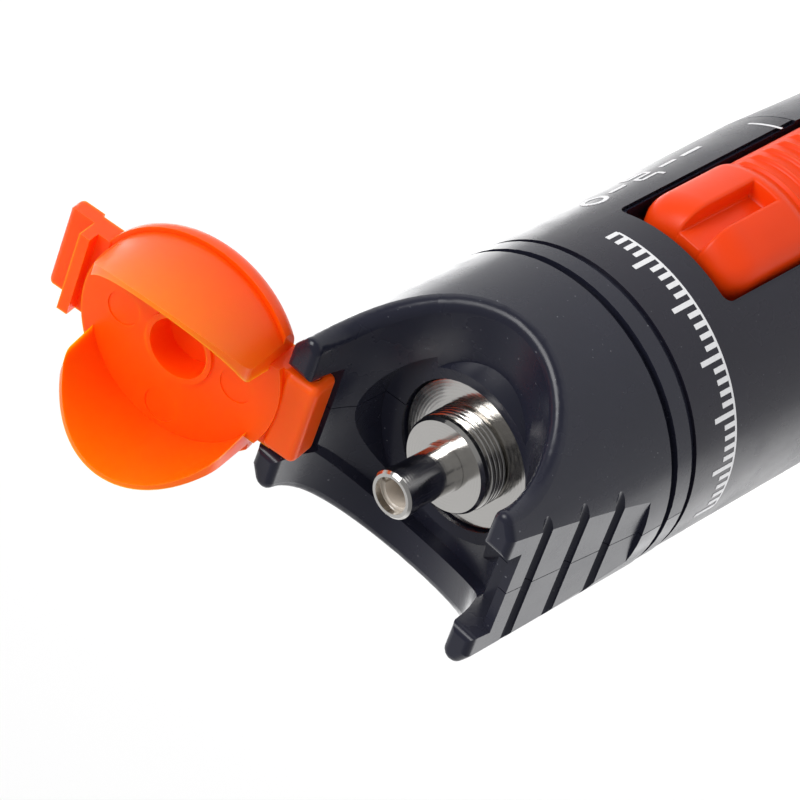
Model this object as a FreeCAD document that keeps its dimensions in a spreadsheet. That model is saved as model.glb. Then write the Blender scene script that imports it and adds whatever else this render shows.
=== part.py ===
"""Pen-type visual fault locator: a laser pen with a four-pronged head, a ferrule tube and a hinged cap.

The pen stands on its flat tail: z = 0 is the tail face, +Z runs along the pen to the head, the slide
switch is on -Y, the cap's hinge on +X and its latch on -X.  Lengths are in millimetres, angles in degrees.
"""
import FreeCAD, Part
import os
import Sketcher

DOC = FreeCAD.newDocument("FaultLocator")
SHEET = DOC.addObject("Spreadsheet::Sheet", "Sizes")

SIZES = {
    # whole pen
    "head_length": 17.7,
    "barrel_radius": 12.95,
    "head_step": 0.15,
    "rear_radius": 12.0,
    "shell_wall": 1.6,
    "fit_gap": 0.1,
    "loose_gap": 0.3,
    "seam_gap": 0.08,
    # bands behind the head
    "neck_groove_width": 0.8,
    "neck_groove_depth": 0.7,
    "neck_ring_width": 1.6,
    "label_gap": 0.65,
    "label_length": 28.2,
    "label_thickness": 0.3,
    "taper_length": 20.0,
    # connector bay inside the head
    "bay_radius": 8.0,
    "bay_floor": 8.7,
    "floor_dish": 0.25,
    "bulkhead_thickness": 3.2,
    "arch_radius": 9.2,
    "arch_height": 16.5,
    "arch_rounding": 0.9,
    "far_arch_radius": 9.3,
    "far_arch_height": 17.8,
    "lobe_room": 0.6,
    "floor_shoulder": 1.0,
    "seat_height": 14.5,
    "rim_seat_height": 15.35,
    "slot_half_width": 4.2,
    "slot_rounding": 0.6,
    "hinge_slot_floor": 13.95,
    "latch_pocket_floor": 13.5,
    "latch_bar_height": 15.9,
    "latch_bar_inner": 10.85,
    "pad_low_inset": 0.4,
    "pad_top_inset": 1.65,
    "pad_start": 2.2,
    "grip_groove_radius": 0.55,
    "grip_groove_pitch": 4.0,
    "grip_groove_first": 5.8,
    # cap
    "cap_radius": 9.4,
    "cap_thickness": 3.2,
    "cap_edge": 1.9,
    "cap_rim_height": 1.1,
    "lobe_radius": 9.0,
    "lobe_root": 1.0,
    "lobe_tip": 0.4,
    "lobe_half_width": 7.3,
    "lobe_corner": 1.8,
    "cap_open_angle": 170.0,
    "hinge_inset": 3.1,
    "hinge_height": 16.2,
    "knuckle_half_width": 1.5,
    "knuckle_face": 1.5,
    "knuckle_rounding": 0.6,
    "knuckle_half_length": 3.85,
    "pin_radius": 0.75,
    "pin_half_length": 7.0,
    "boss_radius": 3.0,
    "boss_wall": 0.45,
    "boss_height": 0.25,
    "boss_floor": 0.8,
    "ejector_radius": 1.45,
    "ejector_depth": 0.1,
    "ejector_reach": 5.3,
    "ejector_side_reach": 6.1,
    "cap_trim": 2.7,
    "hook_thickness": 0.95,
    "hook_depth": 1.8,
    "tab_overhang": 2.3,
    "tab_thickness": 1.4,
    # slide and its window
    "window_front": 10.7,
    "window_length": 35.3,
    "window_half_width": 5.6,
    "window_corner": 0.8,
    "slide_length": 25.8,
    "slide_half_width": 4.85,
    "slide_corner": 2.0,
    "slide_crown": 7.6,
    "slide_nose": 2.2,
    "slide_dish": 0.45,
    "slide_proud": 1.3,
    "slide_travel": 8.0,
    "slide_front_gap": 1.1,
    "skirt_thickness": 0.7,
    "skirt_half_width": 6.6,
    "ridge_count": 8.0,
    "ridge_pitch": 1.6,
    "ridge_height": 0.3,
    "ridge_width": 0.55,
    "ridge_offset": 10.4,
    "ridge_half_width": 3.7,
    "thumb_groove_width": 2.2,
    "thumb_groove_length": 8.6,
    "thumb_groove_depth": 1.2,
    # optics
    "thread_radius": 4.0,
    "thread_depth": 0.35,
    "thread_length": 2.0,
    "thread_height": 10.6,
    "thread_chamfer": 0.3,
    "flange_radius": 5.97,
    "flange_height": 7.95,
    "collar_radius": 7.4,
    "collar_thickness": 2.4,
    "tube_radius": 1.97,
    "tube_waist": 0.12,
    "tube_rim": 1.1,
    "tube_height": 16.4,
    "tube_lip_radius": 1.5,
    "tube_lip": 0.7,
    "ferrule_radius": 1.25,
    "sleeve_wall": 0.35,
    "sleeve_length": 11.0,
    "sleeve_split": 0.3,
    "laser_radius": 4.5,
    "laser_bore": 3.2,
    "laser_length": 17.0,
    "lens_thickness": 2.0,
    "diode_radius": 2.8,
    "diode_length": 3.6,
    # electronics
    "board_offset": 4.9,
    "board_thickness": 1.2,
    "board_half_width": 7.1,
    "board_length": 37.0,
    "board_clearance": 1.7,
    "board_front_gap": 1.5,
    "rail_setback": 4.0,
    "rail_thickness": 1.6,
    "rail_inner": 6.4,
    "switch_width": 4.4,
    "switch_height": 2.8,
    "switch_length": 14.0,
    "lever_size": 1.5,
    "lever_height": 2.9,
    "lever_setback": 10.0,
    "chip_size": 4.0,
    "chip_height": 1.2,
    # cells and tail
    "cell_radius": 7.1,
    "cell_length": 50.5,
    "cell_nub_radius": 2.6,
    "cell_nub_height": 1.2,
    "cell_clearance": 0.2,
    "rib_thickness": 1.6,
    "contact_radius": 6.4,
    "contact_thickness": 0.4,
    "tail_length": 14.0,
    "tail_floor": 2.0,
    "tail_edge": 1.2,
    "spigot_length": 7.0,
    "spigot_wall": 1.6,
    "flute_radius": 0.7,
    "flute_count": 14.0,
    "seal_radius": 0.6,
    "seal_offset": 3.0,
    "leaf_reach": 5.0,
    "leaf_half_width": 2.0,
    "leaf_thickness": 0.4,
}


class Size:
    """A length worked out from the sheet, kept both as a number and as a spreadsheet expression."""

    def __init__(self, text, value):
        self.text = text
        self.value = value

    def _with(self, other, sign, value):
        return Size("(%s %s %s)" % (self.text, sign, as_size(other).text), value)

    def __add__(self, other):
        return self._with(other, "+", self.value + as_size(other).value)

    def __sub__(self, other):
        return self._with(other, "-", self.value - as_size(other).value)

    def __mul__(self, other):
        return self._with(other, "*", self.value * as_size(other).value)

    def __truediv__(self, other):
        return self._with(other, "/", self.value / as_size(other).value)

    def __rsub__(self, other):
        return as_size(other) - self

    def __neg__(self):
        return as_size(0) - self


def as_size(thing):
    """Return thing as a Size; plain numbers are allowed for zero, halves and doubles."""
    if isinstance(thing, Size):
        return thing
    return Size("%.6g" % thing, float(thing))


class Sheet:
    """Read access to the sheet's cells as Size objects."""

    def __getattr__(self, alias):
        return Size("Sizes." + alias, SIZES[alias])


def fill_sheet():
    """Write every driving size into the sheet with its alias."""
    for row, (alias, value) in enumerate(SIZES.items(), start=1):
        SHEET.set("A%d" % row, alias)
        SHEET.set("B%d" % row, "%g" % value)
        SHEET.setAlias("B%d" % row, alias)
    DOC.recompute()


DERIVED = []


def derived(alias, size):
    """Write a worked-out size into the sheet as a formula and return it under its alias."""
    DERIVED.append(alias)
    row = len(SIZES) + len(DERIVED)
    SHEET.set("A%d" % row, alias)
    SHEET.set("B%d" % row, "=" + size.text.replace("Sizes.", ""))
    SHEET.setAlias("B%d" % row, alias)
    return Size("Sizes." + alias, size.value)


fill_sheet()
S = Sheet()
ZERO = as_size(0)


# ---------------------------------------------------------------- helpers

def bind(obj, **sizes):
    """Bind properties of a document object to sheet expressions."""
    for name, size in sizes.items():
        path = name.replace("__", ".")
        obj.setExpression(path, as_size(size).text)
    return obj


def place(obj, x=ZERO, y=ZERO, z=ZERO):
    """Bind an object's position."""
    for axis, size in (("x", x), ("y", y), ("z", z)):
        obj.setExpression("Placement.Base." + axis, as_size(size).text)
    return obj


def box(name, low, high):
    """Part::Box between two corners given as (x, y, z) sizes."""
    obj = DOC.addObject("Part::Box", name)
    spans = [as_size(b) - as_size(a) for a, b in zip(low, high)]
    bind(obj, Length=spans[0], Width=spans[1], Height=spans[2])
    return place(obj, *low)


def cylinder(name, radius, low, high, x=ZERO, y=ZERO):
    """Upright Part::Cylinder from z = low to z = high."""
    obj = DOC.addObject("Part::Cylinder", name)
    bind(obj, Radius=radius, Height=as_size(high) - as_size(low))
    return place(obj, x, y, low)


def cone(name, low_radius, high_radius, low, high, x=ZERO):
    """Upright Part::Cone from z = low to z = high."""
    obj = DOC.addObject("Part::Cone", name)
    bind(obj, Radius1=low_radius, Radius2=high_radius, Height=as_size(high) - as_size(low))
    return place(obj, x, ZERO, low)


def cross_cylinder(name, radius, half_length, x, z):
    """Part::Cylinder lying along Y and centred on y = 0."""
    obj = DOC.addObject("Part::Cylinder", name)
    obj.Placement = FreeCAD.Placement(
        FreeCAD.Vector(0, 0, 0), FreeCAD.Rotation(FreeCAD.Vector(1, 0, 0), -90))
    half = as_size(half_length)
    bind(obj, Radius=radius, Height=half * 2)
    return place(obj, x, -half, z)


def cut(name, base, tool):
    obj = DOC.addObject("Part::Cut", name)
    obj.Base = base
    obj.Tool = tool
    return obj


def fuse(name, *shapes):
    obj = DOC.addObject("Part::MultiFuse", name)
    obj.Shapes = list(shapes)
    obj.Refine = True
    return obj


def common(name, first, second):
    obj = DOC.addObject("Part::Common", name)
    obj.Base = first
    obj.Tool = second
    return obj


def origin_plane(body, role):
    for feature in body.Origin.OriginFeatures:
        if feature.Role == role:
            return feature
    raise ValueError(role)


def outline_sketch(body, name, points):
    """Closed polygon sketch on the body's XZ plane; each point is an (r, z) pair of sizes."""
    sketch = body.newObject("Sketcher::SketchObject", name)
    sketch.AttachmentSupport = [(origin_plane(body, "XZ_Plane"), "")]
    sketch.MapMode = "FlatFace"
    corners = [(as_size(r), as_size(z)) for r, z in points]
    for index, (r, z) in enumerate(corners):
        next_r, next_z = corners[(index + 1) % len(corners)]
        start = FreeCAD.Vector(r.value, z.value, 0)
        end = FreeCAD.Vector(next_r.value, next_z.value, 0)
        sketch.addGeometry(Part.LineSegment(start, end), False)
    for index, (r, z) in enumerate(corners):
        previous = (index - 1) % len(corners)
        sketch.addConstraint(Sketcher.Constraint("Coincident", previous, 2, index, 1))
        for kind, size in (("DistanceX", r), ("DistanceY", z)):
            number = sketch.addConstraint(
                Sketcher.Constraint(kind, -1, 1, index, 1, size.value))
            sketch.setExpression("Constraints[%d]" % number, size.text)
    return sketch


def turned(name, points):
    """PartDesign body made by revolving an (r, z) outline about Z."""
    body = DOC.addObject("PartDesign::Body", name)
    sketch = outline_sketch(body, name + "_outline", points)
    revolution = body.newObject("PartDesign::Revolution", name + "_revolution")
    revolution.Profile = sketch
    revolution.ReferenceAxis = (sketch, ["V_Axis"])
    revolution.Angle = 360.0
    body.Tip = revolution
    return body


def edges_where(obj, test):
    """Numbers of the edges of obj that pass a test on the edge."""
    DOC.recompute()
    return [n for n, edge in enumerate(obj.Shape.Edges, start=1) if test(edge)]


def fillet(name, base, radius, test):
    """Part::Fillet on the edges of base that pass the test, its radius from a size."""
    obj = DOC.addObject("Part::Fillet", name)
    obj.Base = base
    value = as_size(radius).value
    obj.Edges = [(n, value, value) for n in edges_where(base, test)]
    return obj


def along(axis, ceiling=1e9):
    """Edge test: a straight edge parallel to one of the axes that stays below a height."""
    direction = FreeCAD.Vector(*axis)

    def test(edge):
        if not isinstance(edge.Curve, Part.Line) or edge.BoundBox.ZMax > ceiling:
            return False
        return abs(abs(edge.Curve.Direction.dot(direction)) - 1) < 1e-6
    return test


# ---------------------------------------------------------------- levels

cell_bottom = S.tail_length
cells_top = cell_bottom + S.cell_length * 2
contact_top = derived("contact_top", cells_top + S.contact_thickness + S.fit_gap)
board_bottom = derived("board_bottom", contact_top + S.rib_thickness + S.board_clearance)
board_top = derived("board_top", board_bottom + S.board_length)
head_rear = derived("head_rear", board_top + S.board_front_gap)
pen_top = derived("pen_top", head_rear + S.head_length)
head_radius = derived("head_radius", S.barrel_radius + S.head_step)
hinge_x = derived("hinge_x", head_radius - S.hinge_inset)
bay_floor = head_rear + S.bay_floor
seat_level = head_rear + S.seat_height
hinge_level = head_rear + S.hinge_height
bulkhead_back = bay_floor - S.bulkhead_thickness
shell_bore = S.rear_radius - S.shell_wall
ring_low = head_rear - S.neck_groove_width - S.neck_ring_width
label_top = ring_low - S.label_gap
label_bottom = label_top - S.label_length
label_seat = S.barrel_radius - S.label_thickness
window_top = head_rear - S.window_front
window_bottom = window_top - S.window_length
outside = head_radius + S.barrel_radius
rib_radius = S.cell_radius + S.cell_clearance
flange_hole = S.flange_radius + S.fit_gap * 2
skirt_outer_radius = shell_bore - S.loose_gap * 0.5
skirt_inner_radius = skirt_outer_radius - S.skirt_thickness


# ---------------------------------------------------------------- housing

def housing_profile():
    """Outline of the housing: tail joint, taper, label seat, ring, groove, head and bay."""
    groove_radius = head_radius - S.neck_groove_depth
    ring_radius = (head_radius + S.barrel_radius) / 2
    points = [
        (shell_bore, S.tail_length),
        (S.rear_radius, S.tail_length),
        (S.rear_radius, label_bottom - S.taper_length),
        (S.barrel_radius, label_bottom - S.fit_gap),
        (label_seat, label_bottom - S.fit_gap),
        (label_seat, ring_low),
        (ring_radius, ring_low),
        (ring_radius, ring_low + S.neck_ring_width),
        (groove_radius, ring_low + S.neck_ring_width),
        (groove_radius, head_rear),
        (head_radius, head_rear),
        (head_radius, pen_top),
        (S.cap_radius + S.loose_gap, pen_top),
        (S.cap_radius + S.loose_gap, head_rear + S.rim_seat_height),
        (S.lobe_radius + S.loose_gap, head_rear + S.rim_seat_height),
        (S.lobe_radius + S.loose_gap, seat_level),
        (S.bay_radius, seat_level),
        (S.bay_radius, bay_floor),
        (flange_hole, bay_floor - S.floor_dish),
        (flange_hole, bulkhead_back),
        (shell_bore, bulkhead_back),
    ]
    ribs = []
    span = S.cell_length * 2 - S.spigot_length - S.rib_thickness * 2
    for part in (3, 2, 1, 0):
        low = cell_bottom + S.spigot_length + S.rib_thickness + span * (part / 3.0) - S.rib_thickness * 0.5
        ribs += [(shell_bore, low + S.rib_thickness), (rib_radius, low + S.rib_thickness),
                 (rib_radius, low), (shell_bore, low)]
    wall_low = contact_top
    wall_high = wall_low + S.rib_thickness
    web = [(shell_bore, wall_high), (S.cell_nub_radius, wall_high),
           (S.cell_nub_radius, wall_low), (shell_bore, wall_low)]
    return points + web + ribs


def pad_cutter(name, side):
    """Slanted slab that leaves the flat finger pad on one side of the head, with its grip grooves."""
    low_x = head_radius - S.pad_low_inset
    top_x = head_radius - S.pad_top_inset
    start = head_rear + S.pad_start
    end = pen_top + 1
    body = DOC.addObject("PartDesign::Body", name)
    corners = [(low_x, start), (top_x, end), (outside, end), (outside, start)]
    if side < 0:
        corners = [(-x, z) for x, z in corners]
    sketch = outline_sketch(body, name + "_outline", corners)
    pad = body.newObject("PartDesign::Pad", name + "_pad")
    pad.Profile = sketch
    pad.setExpression("Length", (head_radius * 2).text)
    pad.SideType = "Symmetric"
    body.Tip = pad
    grooves = []
    slope = (S.pad_top_inset - S.pad_low_inset) / (S.head_length + 1 - S.pad_start)
    for number in range(3):
        height = S.grip_groove_first + S.grip_groove_pitch * number
        x = low_x - slope * (height - S.pad_start)
        if side < 0:
            x = -x
        grooves.append(cross_cylinder("%s_groove_%d" % (name, number + 1), S.grip_groove_radius,
                                      head_radius, x, head_rear + height))
    return [body] + grooves


def window_cutter(name, margin):
    """Rounded window for the slide, cut through the -Y wall."""
    plain = box(name + "_block", (-S.window_half_width - margin, -outside, window_bottom - margin),
                (S.window_half_width + margin, -shell_bore * 0.6, window_top + margin))
    return fillet(name, plain, S.window_corner, along((0, 1, 0)))


def arch_rim(edge):
    """Edge test: the rim where the arches break through the outside of the head."""
    middle = edge.valueAt((edge.FirstParameter + edge.LastParameter) / 2)
    side = "far_arch" if middle.y > 0 else "arch"
    rise = middle.z - head_rear.value - SIZES[side + "_height"]
    on_arch = abs((middle.x ** 2 + rise ** 2) ** 0.5 - SIZES[side + "_radius"]) < 0.01
    return on_arch and abs((middle.x ** 2 + middle.y ** 2) ** 0.5 - head_radius.value) < 0.01


def prong_tip(edge):
    """Edge test: the outer edges of the four prong tips and of the sill between the hinge prongs."""
    middle = edge.valueAt((edge.FirstParameter + edge.LastParameter) / 2)
    tip = edge.BoundBox.ZMin > pen_top.value - 0.01
    on_seat = abs((middle.x ** 2 + middle.y ** 2) ** 0.5 - SIZES["cap_radius"] - SIZES["loose_gap"]) < 0.01
    sill = head_rear.value + SIZES["hinge_slot_floor"]
    outer_sill = middle.x > hinge_x.value and abs(middle.z - sill) < 0.01 and along((0, 1, 0))(edge)
    return (tip and not on_seat) or outer_sill


def build_shells():
    """Two moulded half shells that meet on y = 0."""
    blank = turned("housing_blank", housing_profile())
    arch_bar = cross_cylinder("arch_bar", S.arch_radius, outside, ZERO, head_rear + S.arch_height)
    arch_bottom = head_rear + S.arch_height - S.arch_radius
    floor_plug = cone("floor_plug", S.bay_radius, S.bay_radius - S.floor_shoulder,
                      arch_bottom - S.fit_gap, bay_floor)
    near_side = box("arch_near_side", (-outside, -outside, head_rear), (outside, ZERO, pen_top + 1))
    lobe_core = cylinder("arch_lobe_core", S.lobe_radius + S.lobe_room, head_rear, pen_top + 1)
    near_arch = common("arch_near", arch_bar, fuse("arch_room", near_side, lobe_core))
    far_bar = cross_cylinder("arch_far_bar", S.far_arch_radius, outside, ZERO, head_rear + S.far_arch_height)
    far_side = box("arch_far_side", (-outside, ZERO, head_rear), (outside, outside, pen_top + 1))
    far_arch = common("arch_far", far_bar, far_side)
    arch = cut("arch_cutter", fuse("arches", near_arch, far_arch), floor_plug)
    arched = cut("housing_arched", blank, arch)
    rounded = fillet("housing_rounded", arched, S.arch_rounding, arch_rim)
    hinge_slot = box("hinge_slot", (S.bay_radius * 0.8, -S.slot_half_width, head_rear + S.hinge_slot_floor),
                     (outside, S.slot_half_width, pen_top + 1))
    latch_pocket = box("latch_pocket", (-S.latch_bar_inner, -S.slot_half_width,
                                        head_rear + S.latch_pocket_floor),
                       (as_size(1) - S.bay_radius, S.slot_half_width, pen_top + 1))
    latch_notch = box("latch_notch", (-outside, -S.slot_half_width, head_rear + S.latch_bar_height),
                      (-S.bay_radius, S.slot_half_width, pen_top + 1))
    pin_hole = cross_cylinder("pin_hole", S.pin_radius + S.fit_gap * 0.2,
                              S.pin_half_length + S.fit_gap, hinge_x, hinge_level)
    cutters = [hinge_slot, latch_pocket, latch_notch, pin_hole]
    cutters += pad_cutter("pad_right", 1)
    cutters += pad_cutter("pad_left", -1)
    head_cuts = fuse("head_cutters", *cutters)
    cut_head = cut("housing_cut", rounded, head_cuts)
    head = fillet("housing_softened", cut_head, S.slot_rounding, prong_tip)

    half_seam = S.seam_gap / 2
    upper_half = box("upper_half", (-outside, -outside, ZERO), (outside, -half_seam, pen_top + 1))
    lower_half = box("lower_half", (-outside, half_seam, ZERO), (outside, outside, pen_top + 1))
    rails = []
    for side, low_x, high_x in (("left", -outside, -S.rail_inner), ("right", S.rail_inner, outside)):
        rails.append(box("board_rail_" + side,
                         (low_x, -S.board_offset + S.fit_gap, board_bottom),
                         (high_x, -S.board_offset + S.fit_gap + S.rail_thickness, board_top - S.rail_setback)))
    rail_pair = fuse("board_rail_pair", *rails)
    rail_limit = cylinder("rail_limit", shell_bore + S.fit_gap, board_bottom, board_top)
    rails_in_shell = common("board_rails", rail_pair, rail_limit)
    upper_plain = common("upper_plain", head, upper_half)
    channel_low = window_bottom - S.slide_travel - S.rib_thickness
    channel_outer = cylinder("skirt_channel_outer", shell_bore, channel_low, bulkhead_back)
    channel_inner = cylinder("skirt_channel_inner", skirt_inner_radius - S.loose_gap, channel_low, bulkhead_back)
    channel_ring = cut("skirt_channel_ring", channel_outer, channel_inner)
    channel_side = box("skirt_channel_side", (-S.skirt_half_width - S.loose_gap, -outside, channel_low),
                       (S.skirt_half_width + S.loose_gap, ZERO, bulkhead_back))
    channel = common("skirt_channel", channel_ring, channel_side)
    openings = fuse("upper_openings", window_cutter("window", ZERO), channel)
    upper_window = cut("upper_windowed", upper_plain, openings)
    upper = fuse("upper_shell", upper_window, rails_in_shell)
    lower = common("lower_shell", head, lower_half)
    return upper, lower


def build_label():
    """Thin printed sleeve round the barrel, open over the slide's window."""
    ring = turned("label_ring", [
        (label_seat + S.fit_gap * 0.2, label_bottom), (S.barrel_radius, label_bottom),
        (S.barrel_radius, label_top), (label_seat + S.fit_gap * 0.2, label_top)])
    return cut("label_sleeve", ring, window_cutter("label_window", S.loose_gap))


# ---------------------------------------------------------------- cap

def build_cap():
    """Cap in its own frame: the hinge axis is the origin and the closed cap lies towards -X."""
    inner = S.seat_height - S.hinge_height
    outer = inner + S.cap_thickness
    centre = -hinge_x
    rim_low = inner + S.cap_rim_height
    disc = cylinder("cap_disc", S.cap_radius, rim_low, outer, centre)
    plate = cylinder("cap_plate", S.lobe_radius, inner, rim_low, centre)
    rounded = fillet("cap_disc_rounded", disc, S.cap_edge,
                     lambda edge: edge.BoundBox.ZMin > outer.value - 0.01)
    skirt_low = S.arch_height - S.hinge_height - S.arch_radius
    skirt_outer = cylinder("cap_skirt_outer", S.lobe_radius, skirt_low, inner, centre)
    skirt_inner = cone("cap_skirt_inner", S.lobe_radius - S.lobe_tip, S.lobe_radius - S.lobe_root,
                       skirt_low, inner, centre)
    skirt_ring = cut("cap_skirt_ring", skirt_outer, skirt_inner)
    skirt_arch = cross_cylinder("cap_skirt_arch", S.arch_radius - S.fit_gap * 2, head_radius,
                                centre, S.arch_height - S.hinge_height)
    lobe_limit = box("cap_lobe_limit", (centre - S.lobe_half_width, -head_radius, skirt_low - 1),
                     (centre + S.lobe_half_width, head_radius, inner))
    lobe_shape = common("cap_lobe_shape", skirt_arch, lobe_limit)
    lobe_profile = fillet("cap_lobe_profile", lobe_shape, S.lobe_corner, along((0, 1, 0), inner.value - 0.1))
    lobes = common("cap_lobes", skirt_ring, lobe_profile)
    boss = cylinder("cap_boss", S.boss_radius, inner - S.boss_height, inner, centre)
    block = box("cap_knuckle_block", (-S.knuckle_half_width, -S.knuckle_half_length, -S.knuckle_face),
                (S.knuckle_half_width, S.knuckle_half_length, outer))
    knuckle = fillet("cap_knuckle", block, S.knuckle_rounding, lambda edge: True)
    arm = box("cap_arm", (-S.cap_trim - 1, -S.knuckle_half_length, -S.knuckle_face + S.loose_gap),
              (-S.knuckle_half_width / 2, S.knuckle_half_length, outer))
    far = centre - S.cap_radius
    hook_outer = -hinge_x - S.latch_bar_inner + S.loose_gap
    neck = box("cap_neck", (hook_outer, -S.knuckle_half_length, inner + 1), (far + 1, S.knuckle_half_length,
                                                                          outer - 0.3))
    hook = box("cap_hook", (hook_outer, -S.knuckle_half_length, -S.hook_depth),
               (hook_outer + S.hook_thickness, S.knuckle_half_length, outer - 0.3))
    tab = box("cap_tab", (hook_outer - S.tab_overhang, -S.knuckle_half_length, outer - S.tab_thickness),
              (hook_outer, S.knuckle_half_length, outer))
    tab_rounded = fillet("cap_tab_rounded", tab, S.tab_thickness * 0.4,
                         lambda edge: edge.BoundBox.XMax < hook_outer.value - S.tab_overhang.value + 0.01)
    solid = fuse("cap_solid", rounded, plate, lobes, boss, knuckle, arm, neck, hook, tab_rounded)
    recess = cylinder("cap_recess", S.boss_radius - S.boss_wall, inner - S.boss_height - 1,
                      outer - S.boss_floor, centre)
    pin_bore = cross_cylinder("cap_pin_bore", S.pin_radius + S.fit_gap * 0.5,
                              S.knuckle_half_length + 1, ZERO, ZERO)
    ejectors = []
    for number, (x, y) in enumerate(((S.ejector_reach, ZERO), (-S.ejector_reach, ZERO),
                                     (ZERO, S.ejector_side_reach), (ZERO, -S.ejector_side_reach))):
        ejectors.append(cylinder("cap_ejector_%d" % (number + 1), S.ejector_radius, inner - 1,
                                 inner + S.ejector_depth, centre + x, y))
    trims = []
    for side, low_y, high_y in (("near", -head_radius, -S.knuckle_half_length),
                                ("far", S.knuckle_half_length, head_radius)):
        trims.append(box("cap_trim_" + side, (-S.cap_trim, low_y, skirt_low - 1),
                         (S.cap_radius, high_y, outer + 1)))
    tools = fuse("cap_cutters", recess, pin_bore, *(ejectors + trims))
    cap = cut("dust_cap", solid, tools)
    cap.Placement = FreeCAD.Placement(
        FreeCAD.Vector(0, 0, 0), FreeCAD.Rotation(FreeCAD.Vector(0, 1, 0), SIZES["cap_open_angle"]))
    bind(cap, Placement__Rotation__Angle=S.cap_open_angle)
    return place(cap, hinge_x, ZERO, hinge_level)


def build_hinge_pin():
    return cross_cylinder("hinge_pin", S.pin_radius, S.pin_half_length, hinge_x, hinge_level)


# ---------------------------------------------------------------- slide

slide_top = window_top - S.slide_front_gap
slide_bottom = slide_top - S.slide_length
slide_face = S.barrel_radius + S.slide_proud
dish_face = slide_face - S.slide_dish
lever_level = slide_top - S.lever_setback
switch_face = S.board_offset + S.board_thickness + S.switch_height
switch_centre = lever_level - S.slide_travel / 2
lever_foot = switch_face - S.lever_height * 0.3
lever_tip = lever_foot + S.lever_height


def build_slide():
    """Thumb slide: ridged curved pad in the window and a thin skirt that stays behind the wall."""
    dish_top = slide_top - S.ridge_offset
    nose = S.slide_nose
    pad_ring = turned("slide_pad_ring", [
        (skirt_inner_radius, slide_bottom), (slide_face, slide_bottom),
        (slide_face, slide_bottom + S.slide_corner), (dish_face, slide_bottom + S.slide_corner * 2),
        (dish_face, dish_top - S.slide_corner / 2), (slide_face, dish_top + S.slide_corner / 2),
        (slide_face, slide_top - nose), (slide_face - nose * 0.12, slide_top - nose * 0.5),
        (slide_face - nose * 0.32, slide_top - nose * 0.18), (slide_face - nose * 0.6, slide_top),
        (skirt_inner_radius, slide_top)])
    limit_block = box("slide_limit_block", (-S.slide_half_width, -outside, slide_bottom),
                      (S.slide_half_width, -skirt_inner_radius * 0.5, slide_top))
    limit = fillet("slide_limit", limit_block, S.slide_corner, along((0, 1, 0)))
    crown = cylinder("slide_crown", S.slide_crown, slide_bottom, slide_top, ZERO,
                     S.slide_crown - slide_face - S.fit_gap)
    pad = common("slide_pad", common("slide_pad_plain", pad_ring, limit), crown)
    comb_root = dish_face - S.slide_proud / 2
    comb = [(comb_root, slide_bottom + S.slide_corner)]
    for number in reversed(range(int(SIZES["ridge_count"]))):
        middle = slide_top - S.ridge_offset - S.ridge_pitch * (number + 0.9)
        comb += [(dish_face, middle - S.ridge_width / 2),
                 (dish_face + S.ridge_height, middle - S.ridge_width / 4),
                 (dish_face + S.ridge_height, middle + S.ridge_width / 4),
                 (dish_face, middle + S.ridge_width / 2)]
    comb.append((comb_root, slide_top - S.ridge_offset))
    comb_limit = box("ridge_limit", (-S.ridge_half_width, -outside, slide_bottom),
                     (S.ridge_half_width, ZERO, slide_top))
    ridges = common("slide_ridges", turned("ridge_comb", comb), comb_limit)
    skirt_ring = turned("slide_skirt_ring", [
        (skirt_inner_radius, window_bottom - 1), (skirt_outer_radius, window_bottom - 1),
        (skirt_outer_radius, window_top + S.slide_travel + 1),
        (skirt_inner_radius, window_top + S.slide_travel + 1)])
    skirt_limit = box("slide_skirt_limit", (-S.skirt_half_width, -outside, window_bottom - 2),
                      (S.skirt_half_width, -skirt_inner_radius * 0.5, window_top + S.slide_travel + 2))
    skirt = common("slide_skirt", skirt_ring, skirt_limit)
    solid = fuse("slide_solid", pad, ridges, skirt)
    groove_top = slide_top
    groove_block = box("thumb_groove_block",
                       (-S.thumb_groove_width / 2, -outside, groove_top - S.thumb_groove_length),
                       (S.thumb_groove_width / 2, -slide_face + S.thumb_groove_depth, groove_top))
    groove = fillet("thumb_groove", groove_block, S.thumb_groove_width * 0.45, along((0, 1, 0)))
    half_pocket = S.lever_size / 2 + S.fit_gap * 0.5
    pocket = box("lever_pocket", (-half_pocket, -lever_tip - S.fit_gap * 2, lever_level - half_pocket),
                 (half_pocket, -skirt_inner_radius * 0.5, lever_level + half_pocket))
    return cut("slide_button", solid, fuse("slide_cutters", groove, pocket))


def build_lever():
    """Switch lever that stands in the slide's pocket and runs in the switch's slot."""
    half = S.lever_size / 2
    return box("switch_lever", (-half, -lever_tip, lever_level - half),
               (half, -lever_foot, lever_level + half))


# ---------------------------------------------------------------- electronics

def build_board():
    """Circuit board on its rails, with the slide switch and the driver chip on it."""
    face = -S.board_offset - S.board_thickness
    board = box("circuit_board", (-S.board_half_width, face, board_bottom),
                (S.board_half_width, -S.board_offset, board_top))
    half = S.switch_width / 2
    case = box("switch_case", (-half, -switch_face, switch_centre - S.switch_length / 2),
               (half, face, switch_centre + S.switch_length / 2))
    slot_half = S.lever_size / 2 + S.loose_gap
    slot_reach = S.slide_travel / 2 + slot_half
    slot = box("switch_slot", (-slot_half, -switch_face - 1, switch_centre - slot_reach),
               (slot_half, -switch_face + S.lever_height * 0.3 + S.loose_gap, switch_centre + slot_reach))
    switch = cut("slide_switch", case, slot)
    chip = box("driver_chip", (-S.chip_size / 2, face - S.chip_height, board_bottom + 1),
               (S.chip_size / 2, face, board_bottom + 1 + S.chip_size))
    return board, switch, chip


# ---------------------------------------------------------------- optics

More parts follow.
